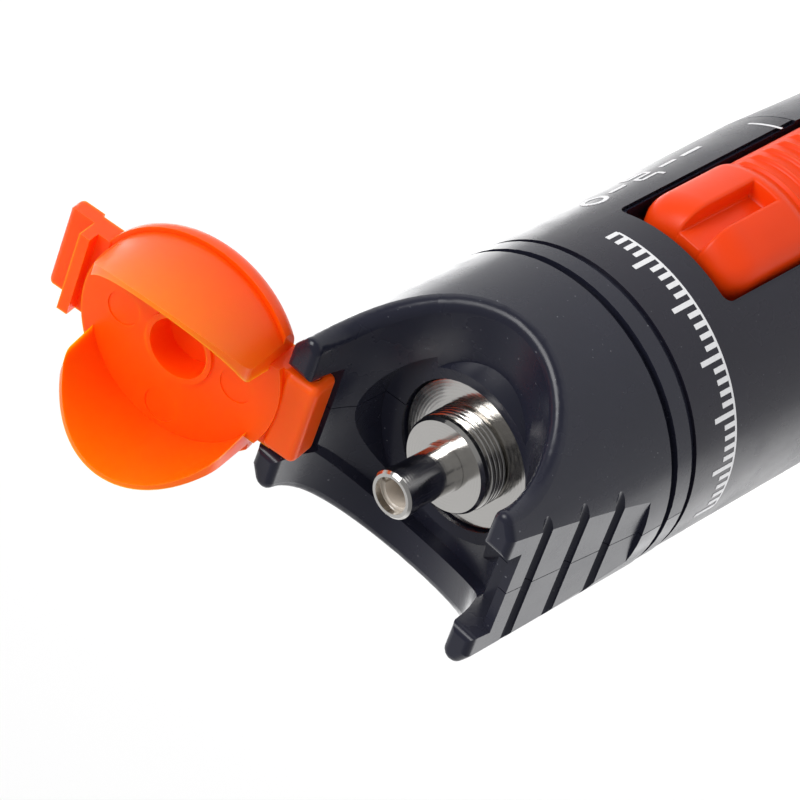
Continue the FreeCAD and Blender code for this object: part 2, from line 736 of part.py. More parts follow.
collar_top = bulkhead_back
collar_bottom = collar_top - S.collar_thickness
laser_top = collar_bottom
laser_bottom = laser_top - S.laser_length
sleeve_radius = S.ferrule_radius + S.sleeve_wall
tube_bore = sleeve_radius + S.fit_gap * 0.5
tube_top = head_rear + S.tube_height
sleeve_top = tube_top - S.tube_lip - S.fit_gap


def build_connector():
    """Turned threaded flange with a collar behind the bulkhead and a through bore for the tube."""
    bore = S.tube_radius + S.fit_gap * 0.2
    root = S.thread_radius - S.thread_depth
    return turned("connector_flange", [
        (bore, collar_bottom), (S.collar_radius, collar_bottom), (S.collar_radius, collar_top),
        (S.flange_radius, collar_top), (S.flange_radius, head_rear + S.flange_height),
        (root, head_rear + S.flange_height),
        (root, head_rear + S.flange_height + S.thread_length),
        (S.thread_radius - S.fit_gap, head_rear + S.flange_height + S.thread_length),
        (S.thread_radius - S.fit_gap, head_rear + S.thread_height - S.thread_chamfer),
        (S.thread_radius - S.thread_chamfer, head_rear + S.thread_height),
        (bore, head_rear + S.thread_height)])


def build_tube():
    """Thin ferrule tube with a rolled front rim that keeps the ceramic sleeve in."""
    slim = S.tube_radius - S.tube_waist
    rim_low = tube_top - S.tube_rim
    shoulder = head_rear + S.thread_height
    return turned("ferrule_tube", [
        (tube_bore, collar_bottom), (S.tube_radius, collar_bottom), (S.tube_radius, shoulder + 0.6),
        (slim, shoulder + 0.6), (slim, rim_low), (S.tube_radius, rim_low),
        (S.tube_radius, tube_top - 0.2), (S.tube_radius - 0.2, tube_top),
        (S.tube_lip_radius, tube_top), (S.tube_lip_radius, sleeve_top + S.fit_gap),
        (tube_bore, sleeve_top + S.fit_gap)])


def build_sleeve():
    """Split ceramic sleeve that grips a 2.5 mm ferrule."""
    low = sleeve_top - S.sleeve_length
    ring = turned("sleeve_ring", [(S.ferrule_radius, low), (sleeve_radius, low),
                                  (sleeve_radius, sleeve_top), (S.ferrule_radius, sleeve_top)])
    split = box("sleeve_slot", (ZERO, -S.sleeve_split / 2, low - 1),
                (sleeve_radius + 1, S.sleeve_split / 2, sleeve_top + 1))
    return cut("ceramic_sleeve", ring, split)


def build_laser():
    """Brass laser barrel with its lens in front and the diode pressed in behind."""
    floor = laser_bottom + S.diode_length
    barrel = turned("laser_barrel", [
        (S.diode_radius + S.fit_gap, laser_bottom), (S.laser_radius, laser_bottom),
        (S.laser_radius, laser_top), (S.laser_bore, laser_top), (S.laser_bore, floor),
        (S.diode_radius * 0.6, floor), (S.diode_radius * 0.6, floor - 0.6),
        (S.diode_radius + S.fit_gap, floor - 0.6)])
    diode = cylinder("laser_diode", S.diode_radius, laser_bottom + S.fit_gap, floor - 0.6 - S.fit_gap * 0.5)
    lens_radius = S.laser_bore - S.fit_gap * 0.5
    lens_low = laser_top - S.lens_thickness * 2
    lens_top = lens_low + S.lens_thickness
    lens = turned("collimator_lens", [
        (ZERO, lens_low), (lens_radius, lens_low), (lens_radius, lens_top - S.lens_thickness * 0.5),
        (lens_radius * 0.7, lens_top - S.lens_thickness * 0.2), (ZERO, lens_top)])
    return barrel, diode, lens


# ---------------------------------------------------------------- cells and tail

def build_cells():
    """Two AA cells in line, nubs towards the head."""
    cells = []
    for number, name in enumerate(("rear_cell", "front_cell")):
        low = cell_bottom + S.cell_length * number
        high = low + S.cell_length
        cells.append(turned(name, [
            (ZERO, low), (S.cell_radius - 0.5, low), (S.cell_radius, low + 0.5),
            (S.cell_radius, high - S.cell_nub_height - 0.5),
            (S.cell_radius - 0.5, high - S.cell_nub_height),
            (S.cell_nub_radius, high - S.cell_nub_height), (S.cell_nub_radius, high), (ZERO, high)]))
    contact = cylinder("front_contact", S.contact_radius, cells_top, cells_top + S.contact_thickness)
    return cells + [contact]


def build_tail():
    """Screwed tail cap with its seal ring and the bent leaf that carries the current."""
    spigot = shell_bore - S.fit_gap * 0.8
    spigot_top = S.tail_length + S.spigot_length
    seal_level = S.tail_length + S.seal_offset
    groove = spigot - S.seal_radius * 2 + S.fit_gap
    inner = spigot - S.spigot_wall
    blank = turned("tail_blank", [
        (ZERO, ZERO), (S.rear_radius - S.tail_edge, ZERO), (S.rear_radius, S.tail_edge),
        (S.rear_radius, S.tail_length - S.fit_gap), (spigot, S.tail_length - S.fit_gap),
        (spigot, seal_level - S.seal_radius - S.fit_gap), (groove, seal_level - S.seal_radius - S.fit_gap),
        (groove, seal_level + S.seal_radius + S.fit_gap), (spigot, seal_level + S.seal_radius + S.fit_gap),
        (spigot, spigot_top), (inner, spigot_top), (inner, S.tail_floor), (ZERO, S.tail_floor)])
    flutes = []
    count = int(SIZES["flute_count"])
    for number in range(count):
        flute = cylinder("flute_%02d" % (number + 1), S.flute_radius, S.tail_edge * 2,
                         S.tail_length - S.tail_edge)
        turn = "(%d * 360 / Sizes.flute_count)" % number
        reach = (S.rear_radius + S.flute_radius * 0.4).text
        flute.setExpression("Placement.Base.x", "%s * cos(%s)" % (reach, turn))
        flute.setExpression("Placement.Base.y", "%s * sin(%s)" % (reach, turn))
        flutes.append(flute)
    tail = cut("tail_cap", blank, fuse("tail_flutes", *flutes))

    ring = S.seal_radius - S.fit_gap * 0.5
    flat = ring * 0.414
    middle = groove + S.seal_radius
    seal = turned("seal_ring", [
        (middle - ring, seal_level - flat), (middle - flat, seal_level - ring),
        (middle + flat, seal_level - ring), (middle + ring, seal_level - flat),
        (middle + ring, seal_level + flat), (middle + flat, seal_level + ring),
        (middle - flat, seal_level + ring), (middle - ring, seal_level + flat)])

    low = S.tail_floor
    high = cell_bottom - S.fit_gap
    reach = S.leaf_reach
    sheet = S.leaf_thickness
    spring = DOC.addObject("PartDesign::Body", "tail_spring")
    leaf = spring.newObject("PartDesign::Pad", "leaf_pad")
    leaf.Profile = outline_sketch(spring, "leaf_outline", [
        (-reach, low), (reach, low), (reach + sheet, low + sheet), (-reach * 0.2, high),
        (-reach * 0.6, high), (-reach * 0.6, high - sheet), (-reach * 0.24, high - sheet),
        (reach - sheet * 2, low + sheet), (-reach, low + sheet)])
    leaf.setExpression("Length", (S.leaf_half_width * 2).text)
    leaf.SideType = "Symmetric"
    spring.Tip = leaf
    return tail, seal, spring


# ---------------------------------------------------------------- build and write

def collect():
    parts = list(build_shells())
    parts.append(build_label())
    parts.append(build_cap())
    parts.append(build_hinge_pin())
    parts.append(build_slide())
    parts.append(build_lever())
    parts += build_board()
    parts.append(build_connector())
    parts.append(build_tube())
    parts.append(build_sleeve())
    parts += build_laser()
    parts += build_cells()
    parts += build_tail()
    return parts


def check(parts):
    """Stop on any failed object or unsound sub-part."""
    for obj in DOC.Objects:
        if "Invalid" in obj.State or "Error" in obj.State:
            raise RuntimeError("failed: %s %s" % (obj.Name, obj.State))
    for part in parts:
        shape = part.Shape
        if shape.isNull() or not shape.isValid() or not shape.Solids:
            raise RuntimeError("unsound: " + part.Label)


def main():
    parts = collect()
    DOC.recompute()
    check(parts)
    os.makedirs("parts", exist_ok=True)
    for part in parts:
        part.Label = part.Name
        part.Shape.exportStep("parts/%s.step" % part.Label)
        print(part.Label, len(part.Shape.Solids), round(part.Shape.Volume, 2))


main()
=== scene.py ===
"""Dressed model of a pen-type visual fault locator: finishes, printed marks, thread and studio."""

import logging
import math
from dataclasses import dataclass
from enum import Enum

import bpy
import numpy as np
from mathutils import Matrix, Vector


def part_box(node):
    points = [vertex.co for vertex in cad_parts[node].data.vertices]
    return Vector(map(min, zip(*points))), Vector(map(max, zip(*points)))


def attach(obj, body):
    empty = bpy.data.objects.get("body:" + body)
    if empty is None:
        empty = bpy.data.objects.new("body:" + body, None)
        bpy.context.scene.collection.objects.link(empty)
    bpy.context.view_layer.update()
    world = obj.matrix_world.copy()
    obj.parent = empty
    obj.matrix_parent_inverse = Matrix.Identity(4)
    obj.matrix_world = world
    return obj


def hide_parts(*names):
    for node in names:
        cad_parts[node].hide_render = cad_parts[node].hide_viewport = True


logging.basicConfig(level=logging.INFO, format="%(message)s")
LOG = logging.getLogger("fault_locator")

MM = 0.001
FULL_TURN = 2.0 * math.pi
QUARTER_TURN = math.pi / 2.0
# the open cap's own upward direction leans ten degrees from the pen's axis
OPEN_CAP_LEAN = math.radians(10.0)
OPEN_CAP_UP = (-math.sin(OPEN_CAP_LEAN), 0.0, math.cos(OPEN_CAP_LEAN))
Colour = tuple[float, float, float, float]
Point = tuple[float, float, float]
Pair = tuple[float, float]
Socket = bpy.types.NodeSocket
Material = bpy.types.Material
# nearly all values of a noise lie in this range
NOISE_RANGE: Pair = (0.3, 0.7)
# from the head's rear end, just ahead of the label, to the tips of its prongs
HEAD_LENGTH_MM = 17.7
# the Mix node's colour sockets share their names with others, so they go by number
MIX_FACTOR, MIX_UNDER, MIX_OVER, MIX_RESULT = 0, 6, 7, 2


# ---------------- small helpers

def linear(hex_code: str) -> Colour:
    """Turn an sRGB hex colour into linear RGBA.

    Each channel follows the sRGB curve: a straight toe up to 0.04045, then a power of 2.4.

    Args:
        hex_code: colour as "#rrggbb".

    Returns:
        Linear red, green and blue, and an alpha of one.
    """
    parts = [int(hex_code[i:i + 2], 16) / 255.0 for i in (1, 3, 5)]
    red, green, blue = [c / 12.92 if c <= 0.04045 else ((c + 0.055) / 1.055) ** 2.4 for c in parts]
    return red, green, blue, 1.0


def shade(colour: Colour, factor: float) -> Colour:
    """Scale a linear colour's three channels, each held at one."""
    red, green, blue = (min(1.0, channel * factor) for channel in colour[:3])
    return red, green, blue, 1.0


def octaves(size_mm: float, detail: float = 3.0) -> dict[str, float]:
    """Input values of a noise whose largest patches have this real size."""
    return {"Scale": 1.0 / (size_mm * MM), "Detail": detail, "Roughness": 0.55}


def span(source: Pair, target: Pair = (0.0, 1.0)) -> dict[str, float]:
    """Input values of a map from one range to another, held at both ends."""
    return {"From Min": source[0], "From Max": source[1], "To Min": target[0], "To Max": target[1]}


def add_node(tree: bpy.types.NodeTree, kind: str, settings: dict | None = None,
             inputs: dict | None = None, links: dict | None = None,
             stops: tuple[Colour, ...] = ()) -> bpy.types.Node:
    """Add one shader node with its settings, input values and incoming links.

    Args:
        tree: node tree that receives the node.
        kind: Blender's name of the node type, without its first word ShaderNode.
        settings: attributes set on the node.
        inputs: socket values by socket name or number.
        links: output sockets by the name or number of the input that they feed.
        stops: colours of a colour ramp's stops.

    Returns:
        The new node.
    """
    node = tree.nodes.new("ShaderNode" + kind)
    for name, value in (settings or {}).items():
        setattr(node, name, value)
    for name, value in (inputs or {}).items():
        node.inputs[name].default_value = value
    for name, socket in (links or {}).items():
        tree.links.new(socket, node.inputs[name])
    for number, colour in enumerate(stops):
        node.color_ramp.elements[number].color = colour
    return node


class Surface:
    """A node material under construction."""

    def __init__(self, name: str) -> None:
        """Start with a Principled shader and nothing else.

        Args:
            name: material name.
        """
        self.material = bpy.data.materials.new(name)
        self.material.use_nodes = True
        self.tree = self.material.node_tree
        self.tree.nodes.clear()
        self.shader = add_node(self.tree, "BsdfPrincipled")
        add_node(self.tree, "OutputMaterial", links={"Surface": self.shader.outputs["BSDF"]})

    def coords(self) -> dict[str, Socket]:
        """Return the link to Object coordinates, in metres from the tail's centre."""
        return {"Vector": add_node(self.tree, "TexCoord").outputs["Object"]}

    def set(self, values: dict[str, float | Point | Colour]) -> None:
        """Set what is the same all over on the shader's own sockets."""
        for name, value in values.items():
            self.shader.inputs[name].default_value = value

    def feed(self, name: str, socket: Socket) -> None:
        """Link a pattern to one of the shader's sockets."""
        self.tree.links.new(socket, self.shader.inputs[name])

    def follow(self, pattern: Socket, tones: tuple[Colour, Colour] | None = None,
               roughness: Pair | None = None, source: Pair = NOISE_RANGE,
               depth_mm: float = 0.0, strength: float = 0.5) -> None:
        """Let the colour, the roughness or the relief follow a grey pattern.

        Args:
            pattern: grey value.
            tones: colours where it is 0 and where it is 1.
            roughness: roughness at the two ends of the source range.
            source: the pattern's values that give those two.
            depth_mm: real depth of one unit of the pattern.
            strength: how much of that depth is used.
        """
        if tones:
            ramp = add_node(self.tree, "ValToRGB", links={"Fac": pattern}, stops=tones)
            self.feed("Base Color", ramp.outputs["Color"])
        if roughness:
            gloss = add_node(self.tree, "MapRange", links={"Value": pattern},
                             inputs=span(source, roughness))
            self.feed("Roughness", gloss.outputs["Result"])
        if depth_mm:
            relief = add_node(self.tree, "Bump", links={"Height": pattern},
                              inputs={"Strength": strength, "Distance": depth_mm * MM})
            self.feed("Normal", relief.outputs["Normal"])


# ---------------- finishes

@dataclass(frozen=True)
class MouldedPlastic:
    """Injection-moulded plastic: the spark-eroded mould leaves a fine grain that softens the gloss.

    The painted glow range is measured along OPEN_CAP_UP: over it the base colour turns towards the
    painted glow colour, standing in for light let through the open cap's thinning lobes, from where they
    start to thin to where they end.  The bleed is how far red, green and blue go inside, in shares of
    its depth.
    """

    name: str
    colour: str
    roughness: float = 0.36
    specular: float = 0.5
    ior: float = 1.5
    grain_mm: float = 0.25
    grain_depth_mm: float = 0.008
    mottling: float = 0.06
    flow_mm: float = 7.0
    flow_range: Pair = (0.35, 0.65)
    handling_mm: float = 3.5
    handling_range: Pair = (-0.05, 0.06)
    dust: float = 0.0
    speck_mm: float = 0.3
    speck_range: Pair = (0.76, 0.81)
    speck_colour: str = "#8d8f96"
    # painted glow: a colour and a range that stand in for light let through the thin lobe tips
    painted_glow_colour: str = ""
    painted_glow_range_mm: Pair = (170.0, 177.5)
    subsurface: float = 0.0
    bleed: Point = (1.0, 0.32, 0.05)
    bleed_depth_mm: float = 4.0

    def build(self) -> Material:
        """Build the node material.

        Returns:
            The material.
        """
        surface = Surface(self.name)
        tree, coords = surface.tree, surface.coords()
        base = linear(self.colour)
        # melt flow: slow patches a few millimetres wide, only just visible
        flow = add_node(tree, "TexNoise", links=coords, inputs=octaves(self.flow_mm, 2.0))
        patches = add_node(tree, "MapRange", links={"Value": flow.outputs["Fac"]},
                           inputs=span(self.flow_range))
        colour = add_node(tree, "ValToRGB", links={"Fac": patches.outputs["Result"]}, stops=(
            shade(base, 1.0 - self.mottling), shade(base, 1.0 + self.mottling))).outputs["Color"]
        layers = []
        if self.painted_glow_colour:
            # painted glow: the base colour turns golden towards the lobes' tips, standing in for light
            # let through their thinning walls
            rise = add_node(tree, "VectorMath", settings={"operation": "DOT_PRODUCT"},
                            links={0: coords["Vector"]}, inputs={1: OPEN_CAP_UP})
            low, high = self.painted_glow_range_mm
            layers.append((rise.outputs["Value"], (low * MM, high * MM), 1.0, self.painted_glow_colour))
        if self.dust:
            # stray lint and dust: pale specks about 0.1 mm across
            specks = add_node(tree, "TexNoise", links=coords, inputs=octaves(self.speck_mm, 1.0))
            layers.append((specks.outputs["Fac"], self.speck_range, self.dust, self.speck_colour))
        for pattern, source, most, over in layers:
            share = add_node(tree, "MapRange", links={"Value": pattern},
                             inputs=span(source, (0.0, most)))
            colour = add_node(tree, "Mix", settings={"data_type": "RGBA"}, links={
                MIX_FACTOR: share.outputs["Result"], MIX_UNDER: colour},
                inputs={MIX_OVER: linear(over)}).outputs[MIX_RESULT]
        surface.feed("Base Color", colour)
        handling = add_node(tree, "TexNoise", links=coords, inputs=octaves(self.handling_mm))
        less, more = self.handling_range
        surface.follow(handling.outputs["Fac"], roughness=(self.roughness + less, self.roughness + more))
        grain = add_node(tree, "TexNoise", links=coords, inputs=octaves(self.grain_mm))
        surface.follow(grain.outputs["Fac"], depth_mm=self.grain_depth_mm)
        surface.set({"IOR": self.ior, "Specular IOR Level": self.specular})
        if self.subsurface:
            # unfilled plastic lets light through its thin walls, red furthest
            surface.set({"Subsurface Weight": self.subsurface, "Subsurface Radius": self.bleed,
                         "Subsurface Scale": self.bleed_depth_mm * MM})
        return surface.material


@dataclass(frozen=True)
class TurnedMetal:
    """Lathe-turned metal: tool rings about the pen's axis break up the gloss.

    Real feed marks are about 0.05 mm apart; the rings are drawn coarser so that they show.
    """

    name: str
    colour: str
    roughness: float = 0.13
    ring_pitch_mm: float = 0.26
    ring_depth_mm: float = 0.0008
    ring_strength: float = 0.6
    smudge_mm: float = 1.5
    smudge_range: Pair = (0.7, 1.5)
    smudge_shade: float = 0.94

    def build(self) -> Material:
        """Build the node material; the rings are a sine of the radius plus the height.

        Returns:
            The material.
        """
        surface = Surface(self.name)
        tree, coords = surface.tree, surface.coords()
        split = add_node(tree, "SeparateXYZ", links=coords)
        plane = add_node(tree, "CombineXYZ",
                         links={"X": split.outputs["X"], "Y": split.outputs["Y"]})
        radius = add_node(tree, "VectorMath", settings={"operation": "LENGTH"},
                          links={"Vector": plane.outputs["Vector"]})
        path = add_node(tree, "Math", settings={"operation": "ADD"},
                        links={0: radius.outputs["Value"], 1: split.outputs["Z"]})
        turns = add_node(tree, "Math", settings={"operation": "MULTIPLY"},
                         inputs={1: FULL_TURN / (self.ring_pitch_mm * MM)},
                         links={0: path.outputs["Value"]})
        wave = add_node(tree, "Math", settings={"operation": "SINE"},
                        links={0: turns.outputs["Value"]})
        surface.follow(wave.outputs["Value"], depth_mm=self.ring_depth_mm, strength=self.ring_strength)
        smudge = add_node(tree, "TexNoise", links=coords, inputs=octaves(self.smudge_mm))
        base = linear(self.colour)
        less, more = self.smudge_range
        surface.follow(smudge.outputs["Fac"], tones=(shade(base, self.smudge_shade), base),
                       roughness=(self.roughness * less, self.roughness * more))
        surface.set({"Metallic": 1.0})
        return surface.material


@dataclass(frozen=True)
class DrawnMetal:
    """Sheet or drawn metal: fine lines along the pen, from rolling, with faint stains."""

    name: str
    colour: str
    roughness: float = 0.28
    roughness_spread: float = 0.08
    line_mm: float = 0.12
    line_depth_mm: float = 0.004
    line_stretch: float = 40.0
    stain_mm: float = 2.5
    stain_shade: float = 0.88

    def build(self) -> Material:
        """Build the node material; the lines are noise stretched along z.

        Returns:
            The material.
        """
        surface = Surface(self.name)
        tree, coords = surface.tree, surface.coords()
        stretch = add_node(tree, "Mapping", links=coords,
                           inputs={"Scale": (1.0, 1.0, 1.0 / self.line_stretch)})
        lines = add_node(tree, "TexNoise", links={"Vector": stretch.outputs["Vector"]},
                         inputs=octaves(self.line_mm, 2.0))
        surface.follow(lines.outputs["Fac"], depth_mm=self.line_depth_mm, roughness=(
            self.roughness - self.roughness_spread, self.roughness + self.roughness_spread))
        stains = add_node(tree, "TexNoise", links=coords, inputs=octaves(self.stain_mm))
        base = linear(self.colour)
        surface.follow(stains.outputs["Fac"], tones=(shade(base, self.stain_shade), base))
        surface.set({"Metallic": 1.0})
        return surface.material


@dataclass(frozen=True)
class FiredCeramic:
    """Ground and polished zirconia: smooth, slightly see-through, with a faint ground grain."""

    name: str
    colour: str
    roughness: Pair = (0.14, 0.24)
    ior: float = 1.6
    grain_mm: float = 0.1
    grain_depth_mm: float = 0.002
    grain_shade: float = 0.96
    subsurface: float = 0.2
    bleed: Point = (1.0, 0.9, 0.8)
    bleed_depth_mm: float = 0.4

    def build(self) -> Material:
        """Build the node material.

        Returns:
            The material.
        """
        surface = Surface(self.name)
        grain = add_node(surface.tree, "TexNoise", links=surface.coords(),
                         inputs=octaves(self.grain_mm, 2.0))
        base = linear(self.colour)
        surface.follow(grain.outputs["Fac"], tones=(shade(base, self.grain_shade), base),
                       roughness=self.roughness, depth_mm=self.grain_depth_mm)
        surface.set({"IOR": self.ior, "Subsurface Weight": self.subsurface,
                     "Subsurface Radius": self.bleed, "Subsurface Scale": self.bleed_depth_mm * MM})
        return surface.material


@dataclass(frozen=True)
class CoatedGlass:
    """Moulded and coated crown glass: clear, with a trace of handling haze."""

    name: str
    colour: str
    roughness: Pair = (0.01, 0.06)
    ior: float = 1.52
    haze_mm: float = 1.2
    haze_range: Pair = (0.4, 0.7)

    def build(self) -> Material:
        """Build the node material.

        Returns:
            The material.
        """
        surface = Surface(self.name)
        haze = add_node(surface.tree, "TexNoise", links=surface.coords(),
                        inputs=octaves(self.haze_mm))
        surface.follow(haze.outputs["Fac"], roughness=self.roughness, source=self.haze_range)
        surface.set({"Base Color": linear(self.colour), "Transmission Weight": 1.0, "IOR": self.ior})
        return surface.material


@dataclass(frozen=True)
class SolderMask:
    """Screen-printed epoxy over copper: green, with slightly raised tracks."""

    name: str
    colour: str
    roughness: Pair = (0.28, 0.42)
    ior: float = 1.55
    track_length_mm: float = 7.0
    track_pitch_mm: float = 1.27
    track_width_mm: float = 0.18
    track_soft: float = 0.3
    track_depth_mm: float = 0.03
    track_shade: float = 1.9
    haze_mm: float = 0.6

    def build(self) -> Material:
        """Build the node material; the tracks are a brick pattern's mortar, laid along the board.

        Returns:
            The material.
        """
        surface = Surface(self.name)
        tree, coords = surface.tree, surface.coords()
        turn = add_node(tree, "Mapping", links=coords,
                        inputs={"Rotation": (QUARTER_TURN, 0.0, 0.0)})
        tracks = add_node(tree, "TexBrick", links={"Vector": turn.outputs["Vector"]}, inputs={
            "Scale": 1.0, "Brick Width": self.track_length_mm * MM,
            "Row Height": self.track_pitch_mm * MM, "Mortar Size": self.track_width_mm * MM,
            "Mortar Smooth": self.track_soft})
        base = linear(self.colour)
        surface.follow(tracks.outputs["Fac"], tones=(base, shade(base, self.track_shade)),
                       depth_mm=self.track_depth_mm)
        haze = add_node(tree, "TexNoise", links=coords, inputs=octaves(self.haze_mm))
        surface.follow(haze.outputs["Fac"], roughness=self.roughness)
        surface.set({"IOR": self.ior})
        return surface.material


@dataclass(frozen=True)
class CellWrap:
    """Heat-shrunk printed film on a dry cell: two bands of colour."""

    name: str
    body: str
    band: str
    roughness: Pair = (0.22, 0.34)
    ior: float = 1.5
    cell_length_mm: float = 50.5
    first_low_mm: float = 14.0
    body_share: float = 0.66
    band_edge_mm: float = 0.05
    wrinkle_mm: float = 1.8
    wrinkle_depth_mm: float = 0.02

    def build(self) -> Material:
        """Build the node material; the band takes the front third of each cell.

        Returns:
            The material.
        """
        surface = Surface(self.name)
        tree, coords = surface.tree, surface.coords()
        split = add_node(tree, "SeparateXYZ", links=coords)
        height = add_node(tree, "Math", settings={"operation": "SUBTRACT"},
                          inputs={1: self.first_low_mm * MM}, links={0: split.outputs["Z"]})
        along = add_node(tree, "Math", settings={"operation": "FLOORED_MODULO"},
                         inputs={1: self.cell_length_mm * MM}, links={0: height.outputs["Value"]})
        edge = self.cell_length_mm * self.body_share * MM
        band = add_node(tree, "MapRange", links={"Value": along.outputs["Value"]},
                        inputs=span((edge, edge + self.band_edge_mm * MM)))
        surface.follow(band.outputs["Result"], tones=(linear(self.body), linear(self.band)))
        wrinkle = add_node(tree, "TexNoise", links=coords, inputs=octaves(self.wrinkle_mm))
        surface.follow(wrinkle.outputs["Fac"], roughness=self.roughness, depth_mm=self.wrinkle_depth_mm)
        surface.set({"IOR": self.ior})
        return surface.material


@dataclass(frozen=True)
class ScreenInk:
    """Screen-printed white ink: matt, slightly uneven in thickness."""

    name: str
    colour: str
    roughness: Pair = (0.5, 0.62)
    mesh_mm: float = 0.2
    mesh_depth_mm: float = 0.004
    mesh_shade: float = 0.9

    def build(self) -> Material:
        """Build the node material.

        Returns:
            The material.
        """
        surface = Surface(self.name)
        marks = add_node(surface.tree, "TexNoise", links=surface.coords(),
                         inputs=octaves(self.mesh_mm, 2.0))
        base = linear(self.colour)
        surface.follow(marks.outputs["Fac"], tones=(shade(base, self.mesh_shade), base),
                       roughness=self.roughness, depth_mm=self.mesh_depth_mm)
        return surface.material


class Finish(Enum):
    """The finishes of the locator, one for each way that its pieces are made."""

    SHELL = MouldedPlastic("abs_charcoal_moulded", "#1f202c", roughness=0.25, dust=0.4, specular=0.30)
    FILM = MouldedPlastic("polyester_film_charcoal_laminated", "#1d1c27", roughness=0.26, grain_mm=0.5,
                          grain_depth_mm=0.003, dust=0.25, specular=0.28)
    # the orange's golden tip colour is a painted glow, standing in for light let through the cap's thin
    # lobes
    ORANGE = MouldedPlastic("polypropylene_orange_moulded", "#ff4f00", grain_mm=0.5,
                            grain_depth_mm=0.005, mottling=0.04, subsurface=0.55, specular=0.28,
                            painted_glow_colour="#ff7200")
    SLIDE = MouldedPlastic("acetal_orange_moulded", "#e63e06", grain_mm=0.5,
                           grain_depth_mm=0.005, mottling=0.04, subsurface=0.15, specular=0.2)
    LEVER = MouldedPlastic("acetal_black_moulded", "#1b1b1d", roughness=0.42)
    CHIP = MouldedPlastic("epoxy_black_transfer_moulded", "#1a1a1c", roughness=0.55, grain_mm=0.12)
    RUBBER = MouldedPlastic("nitrile_rubber_moulded", "#141414", roughness=0.62, grain_mm=0.4,
                            grain_depth_mm=0.01)
    NICKEL = TurnedMetal("brass_nickel_plated_turned", "#dddbd8")
    BRASS = TurnedMetal("brass_bright_turned", "#c9a463", roughness=0.2)
    STEEL = DrawnMetal("steel_tinned_stamped", "#b9b9bb")
    PIN = DrawnMetal("steel_ground_pin", "#c4c4c6", roughness=0.18)
    CONTACT = DrawnMetal("steel_nickel_plated_pressed", "#cfcbc2", roughness=0.22)
    ZIRCONIA = FiredCeramic("zirconia_ground_polished", "#d2c8bc")
    GLASS = CoatedGlass("crown_glass_coated", "#f2f7ff")
    BOARD = SolderMask("fibreglass_board_solder_mask", "#0f4a26")
    CELL = CellWrap("polyethylene_film_printed_shrunk", "#2f3338", "#b7a27a")
    INK = ScreenInk("white_ink_screen_printed", "#e6e6e8")

    def material(self) -> Material:
        """Return the node material, built once."""
        return bpy.data.materials.get(self.value.name) or self.value.build()


# ---------------- meshes from grids

def add_piece(name: str, points: np.ndarray, faces: np.ndarray, finish: Finish, body: str,
              smooth: bool = True) -> bpy.types.Object:
    """Make one object from arrays, give it a finish and let it ride on a body.

    Args:
        name: object name.
        points: array of shape (n, 3), in metres.
        faces: array of shape (m, 4) of point numbers, anticlockwise seen from outside.
        finish: its finish.
        body: name of the body that carries it.
        smooth: whether its faces are shaded smooth.

    Returns:
        The new object.
    """
    mesh = bpy.data.meshes.new(name)
    mesh.from_pydata(points.tolist(), [], faces.tolist())
    mesh.update()
    mesh.validate()
    mesh.polygons.foreach_set("use_smooth", np.full(len(mesh.polygons), smooth))
    mesh.materials.append(finish.material())
    piece = bpy.data.objects.new(name, mesh)
    bpy.context.collection.objects.link(piece)
    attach(piece, body)
    LOG.info("made %s: %d faces", name, len(faces))
    return piece


def grid_faces(rows: int, columns: int) -> np.ndarray:
    """Number the faces of a grid that is closed along both directions.

    Args:
        rows: points round the section.
        columns: points along the path.

    Returns:
        Array of shape (rows * columns, 4).
    """
    row, column = np.meshgrid(np.arange(rows), np.arange(columns), indexing="ij")
    next_row, next_column = (row + 1) % rows, (column + 1) % columns
    corners = [row * columns + column, row * columns + next_column,
               next_row * columns + next_column, next_row * columns + column]
    return np.stack([c.ravel() for c in corners], axis=1)


def slab_faces(rows: int, columns: int, first: int = 0) -> np.ndarray:
    """Number the faces of a closed slab between two open grids of one size, the upper grid first.

    Args:
        rows: rows of each grid.
        columns: columns of each grid.
        first: number of the upper grid's first point.

    Returns:
        Array of quads that face away from the slab when row x column points out of the upper grid.
    """
    upper = np.arange(rows * columns).reshape(rows, columns)
    lower = upper + rows * columns
    corners = upper[:-1, :-1], upper[1:, :-1], upper[1:, 1:], upper[:-1, 1:]
    top = np.stack([c.ravel() for c in corners], axis=1)
    rim = np.concatenate([upper[0, ::-1], upper[1:, 0], upper[-1, 1:], upper[-2::-1, -1]])
    under = np.concatenate([lower[0, ::-1], lower[1:, 0], lower[-1, 1:], lower[-2::-1, -1]])
    sides = np.stack([rim[:-1], under[:-1], under[1:], rim[1:]], axis=1)
    return np.concatenate([top, top[:, ::-1] + rows * columns, sides]) + first


def smooth_step(value: np.ndarray, start: float, end: float) -> np.ndarray:
    """Rise from 0 at start to 1 at end along the cubic 3 t^2 - 2 t^3."""
    share = np.clip((value - start) / (end - start), 0.0, 1.0)
    return share * share * (3.0 - 2.0 * share)


def round_drop(distance: np.ndarray, radius: float) -> np.ndarray:
    """Drop of a quarter-round edge: radius at the edge itself, zero one radius inside it."""
    inward = np.clip(radius - distance, 0.0, radius)
    return radius - np.sqrt(radius ** 2 - inward ** 2)


def round_steps(radius: float, count: int) -> np.ndarray:
    """Distances in from a quarter-round edge whose points are even round its arc."""
    return (1.0 - np.cos(np.linspace(0.0, QUARTER_TURN, count))) * radius


